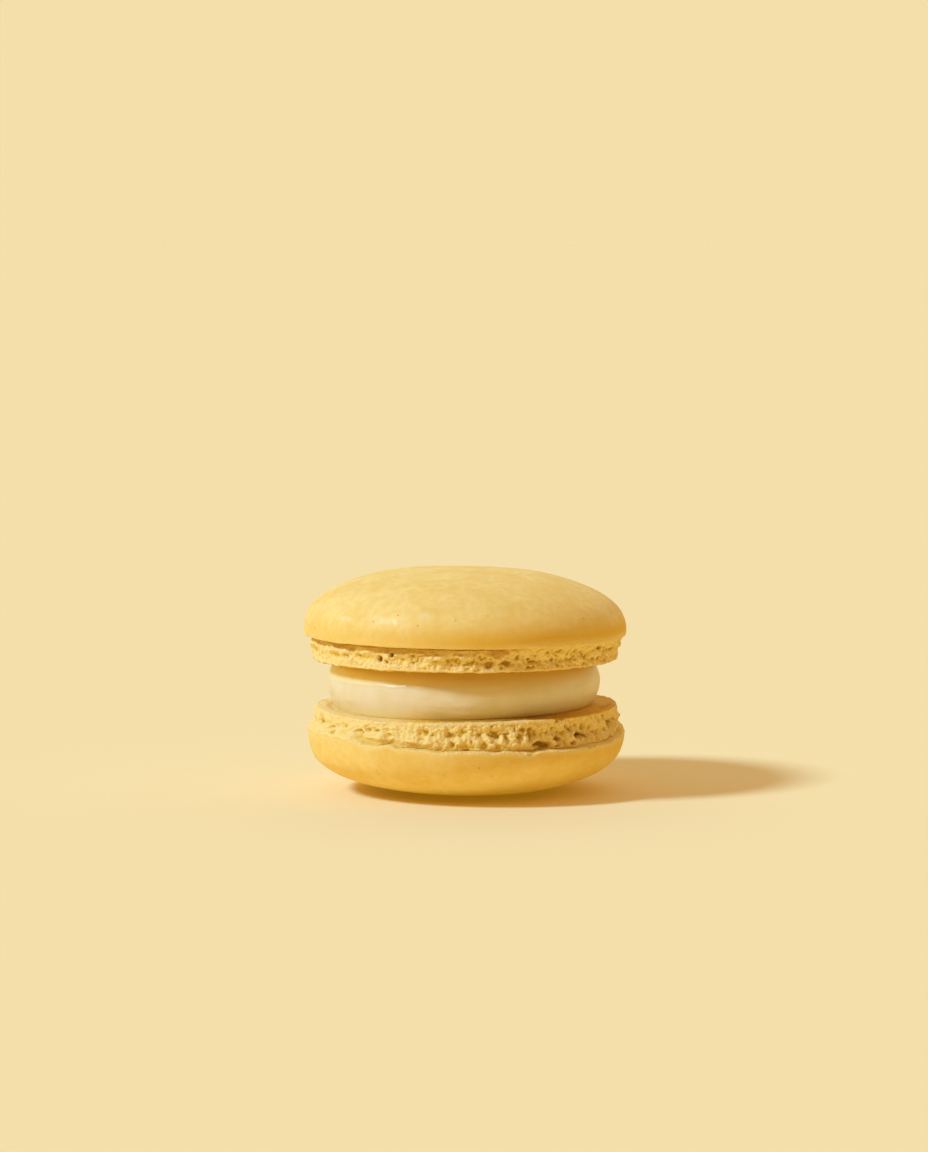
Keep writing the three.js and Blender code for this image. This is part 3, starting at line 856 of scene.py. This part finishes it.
# ------------------------------------------------------------------------------------------------- top shell
# The upper shell is baked like the lower one, a little wider, and lies flat face down on the filling. Its lip
# is whole and overhangs the foot on one side, and a faint tip is left where the piping bag was lifted.
TOP = dict(
    diameter=45,
    foot_diameter=42.8,
    flare=0.45,
    foot_height=3.3,
    crease_depth=0.6,
    crease_lean=-0.4,
    crease_wave=0.1,
    crease_ripple=0.03,
    crease_level={0: 0},
    shoulder_height=4.1,
    height=12.6,
    fullness=2.33,
    lopsided=0.25,
    rest_radius=0,
    torn_lip=0,
    gape={-180: 1, -80: 1, -70: 0.6, -60: 0.15, 0: 0.2, 60: 0.7, 120: 0.5},
    gape_depth=0.6,
    coarse={-180: 0.5, -140: 0.3, -115: 0.5, -95: 0.9, -60: 1.1, -40: 1, 0: 0.9, 90: 1},
    baked={-180: 0.1, -110: 0.4, -85: 0.9, -30: 1, 0: 0.9, 90: 0.5},
    face_crust_and_shade={0: 1},
    crust_edge={0: 0.2},
    rim_raised={0: 0},
    caves=[
        (-150, 2.45, 0.6, 0.28, 0.45),
        (-123, 1.75, 0.32, 0.5, 1.2),
        (-120.5, 1.4, 0.27, 0.26, 0.8),
        (-118, 2.45, 0.46, 0.38, 1.3),
        (-106, 1.75, 2.9, 0.34, 0.35),
        (-95, 1.8, 1.9, 0.3, 0.1),
        (-95, 0.95, 0.2, 0.25, 0.38),
        (-87, 2.5, 0.36, 0.3, 0.52),
        (-84, 2.1, 0.7, 0.3, 0.6),
        (-80, 2.05, 0.24, 0.24, 0.45),
        (-81, 1, 0.56, 0.42, 0.52),
        (-75, 3.05, 0.58, 0.28, 0.68),
        (-75, 1.5, 0.85, 0.42, 0.38),
        (-71, 2, 0.38, 0.3, 0.6),
        (-69, 0.9, 0.6, 0.28, 0.3),
        (-66, 2.05, 0.38, 0.24, 0.45),
        (-66, 0.85, 0.6, 0.28, 0.45),
        (-64, 1.2, 0.25, 0.28, 0.6),
        (-59, 2.6, 0.42, 0.24, 0.6),
        (-56, 1.6, 0.42, 0.42, 0.6),
        (-54, 2.8, 0.5, 0.28, 0.6),
        (-54, 0.6, 0.34, 0.22, 0.5),
        (-50, 2.15, 0.36, 0.28, 0.5),
        (-46, 1.65, 0.38, 0.35, 0.5),
        (-40, 0.7, 0.42, 0.22, 0.4),
        (-32, 2.5, 1, 0.36, 0.8),
        (-31, 1.1, 0.5, 0.28, 0.5),
    ],
    clumps=[
        (-109, 2.65, 1.3, 0.32, 0.5),
        (-108.5, 1.9, 0.5, 0.45, 0.4),
        (-100, 2.35, 1.1, 0.3, 0.5),
        (-92, 2.25, 1.0, 0.3, 0.5),
        (-87, 0.9, 0.7, 0.6, 0.4),
        (-78, 0.6, 0.45, 0.35, 0.3),
    ],
    cracks=[],
    seed=11,
)
TOP_OFFSET = -0.12
TIP_HEIGHT, TIP_RADIUS, TIP_X, TIP_Y = 0.25, 2.6, -0.4, -0.6

zones, marks = shell_zones(TOP)
dome = zones[2]
dome[..., 2] += TIP_HEIGHT * bell(np.hypot(dome[..., 0] - TIP_X, dome[..., 1] - TIP_Y), 0, TIP_RADIUS)
zones = within_box([zone + (TOP_OFFSET, 0, TOP_FACE) for zone in zones], "top_shell")
# The dome's last ring is a tiny one about the axis, so its middle takes its place as the pole.
apex = zones[2][-1].mean(axis=0)
zones[2] = zones[2][:-1]
marks = {name: [*parts[:2], parts[2][:-1]] for name, parts in marks.items()}
top_shell = closed_mesh("upper_shell", zones, marks, (TOP_OFFSET, 0, TOP_FACE), apex)
top_shell.data.materials.append(meringue)
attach(top_shell, "root")
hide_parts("top_shell")

# ------------------------------------------------------------------------------------------- floor and light
# A sheet of pale cream paper, lit by one large lamp at the upper left, and more softly by the ceiling, by the
# pale wall behind and by the warm room. Wall and paper have nearly one tone, so no edge shows between them.
SUN_DIRECTION = Vector((-0.6825, -0.3478, 0.6428))  # towards the lamp
SUN_COLOUR = (0.681, 0.925, 1.0)
SUN_STRENGTH = 2.455
SUN_WIDTH = 11  # degrees
# The light of the room from every side, and what the ceiling adds from above and the wall from behind.
ROOM = (0.328, 0.157, 0.000)
CEILING = (0.302, 0.288, 0.240)
WALL = (0.600, 0.660, 0.430)
TONE = (0.905, 0.737, 0.407, 1)  # of the wall as it is seen
PAPER_SIZE = 40  # m
# The paper as it is seen, with a faint glow that warms its shadow, and as it lights the macaron from below.
PAPER_SEEN = (0.878, 0.772, 0.540, 1)
SHADOW_GLOW = (0.030, 0, 0, 1)
PAPER_BOUNCE = (0.900, 0.700, 0.360, 1)
PAPER_GLOW = (0.190, 0.175, 0.020, 1)

floor_mesh = bpy.data.meshes.new("floor")
half = PAPER_SIZE / 2
corners = [(-half, -half, 0), (half, -half, 0), (half, half, 0), (-half, half, 0)]
floor_mesh.from_pydata(corners, [], [(0, 1, 2, 3)])
floor = bpy.data.objects.new("floor", floor_mesh)
bpy.context.scene.collection.objects.link(floor)
paper = bpy.data.materials.new("paper")
paper.use_nodes = True
tree = paper.node_tree
path = add_node(tree, "LightPath").outputs
surface = link_surface(tree, {
    "Base Color": blend(tree, path["Is Camera Ray"], PAPER_BOUNCE, PAPER_SEEN),
    "Emission Color": blend(tree, path["Is Camera Ray"], PAPER_GLOW, SHADOW_GLOW),
    "Emission Strength": reckon(tree, "MAXIMUM", path["Is Diffuse Ray"], path["Is Camera Ray"]),
})
surface.inputs["Roughness"].default_value = 0.9
surface.inputs["Specular IOR Level"].default_value = 0
# The glow is met only by the light that reaches the paper, and isn't aimed at as a lamp is.
paper.cycles.emission_sampling = "NONE"
floor.data.materials.append(paper)

sun = bpy.data.objects.new("sun", bpy.data.lights.new("sun", "SUN"))
sun.data.energy = SUN_STRENGTH
sun.data.angle = np.radians(SUN_WIDTH)
sun.data.color = SUN_COLOUR
sun.rotation_euler = SUN_DIRECTION.to_track_quat("Z", "Y").to_euler()
bpy.context.scene.collection.objects.link(sun)

world = bpy.data.worlds.new("studio")
bpy.context.scene.world = world
world.use_nodes = True
tree = world.node_tree
towards = add_node(tree, "SeparateXYZ", {"Vector": add_node(tree, "TexCoord").outputs["Generated"]}).outputs
lit = []
for light, axis in ((CEILING, "Z"), (WALL, "Y")):
    inputs = {0: light, "Scale": reckon(tree, "MAXIMUM", towards[axis], 0)}
    lit.append(add_node(tree, "VectorMath", inputs, operation="SCALE").outputs["Vector"])
room = reckon_vector(tree, "ADD", *lit)["Vector"]
room = reckon_vector(tree, "ADD", room, ROOM)["Vector"]
seen = add_node(tree, "LightPath").outputs["Is Camera Ray"]
tree.links.new(blend(tree, seen, room, TONE), tree.nodes["Background"].inputs["Color"])
bpy.context.scene.view_settings.view_transform = "Standard"
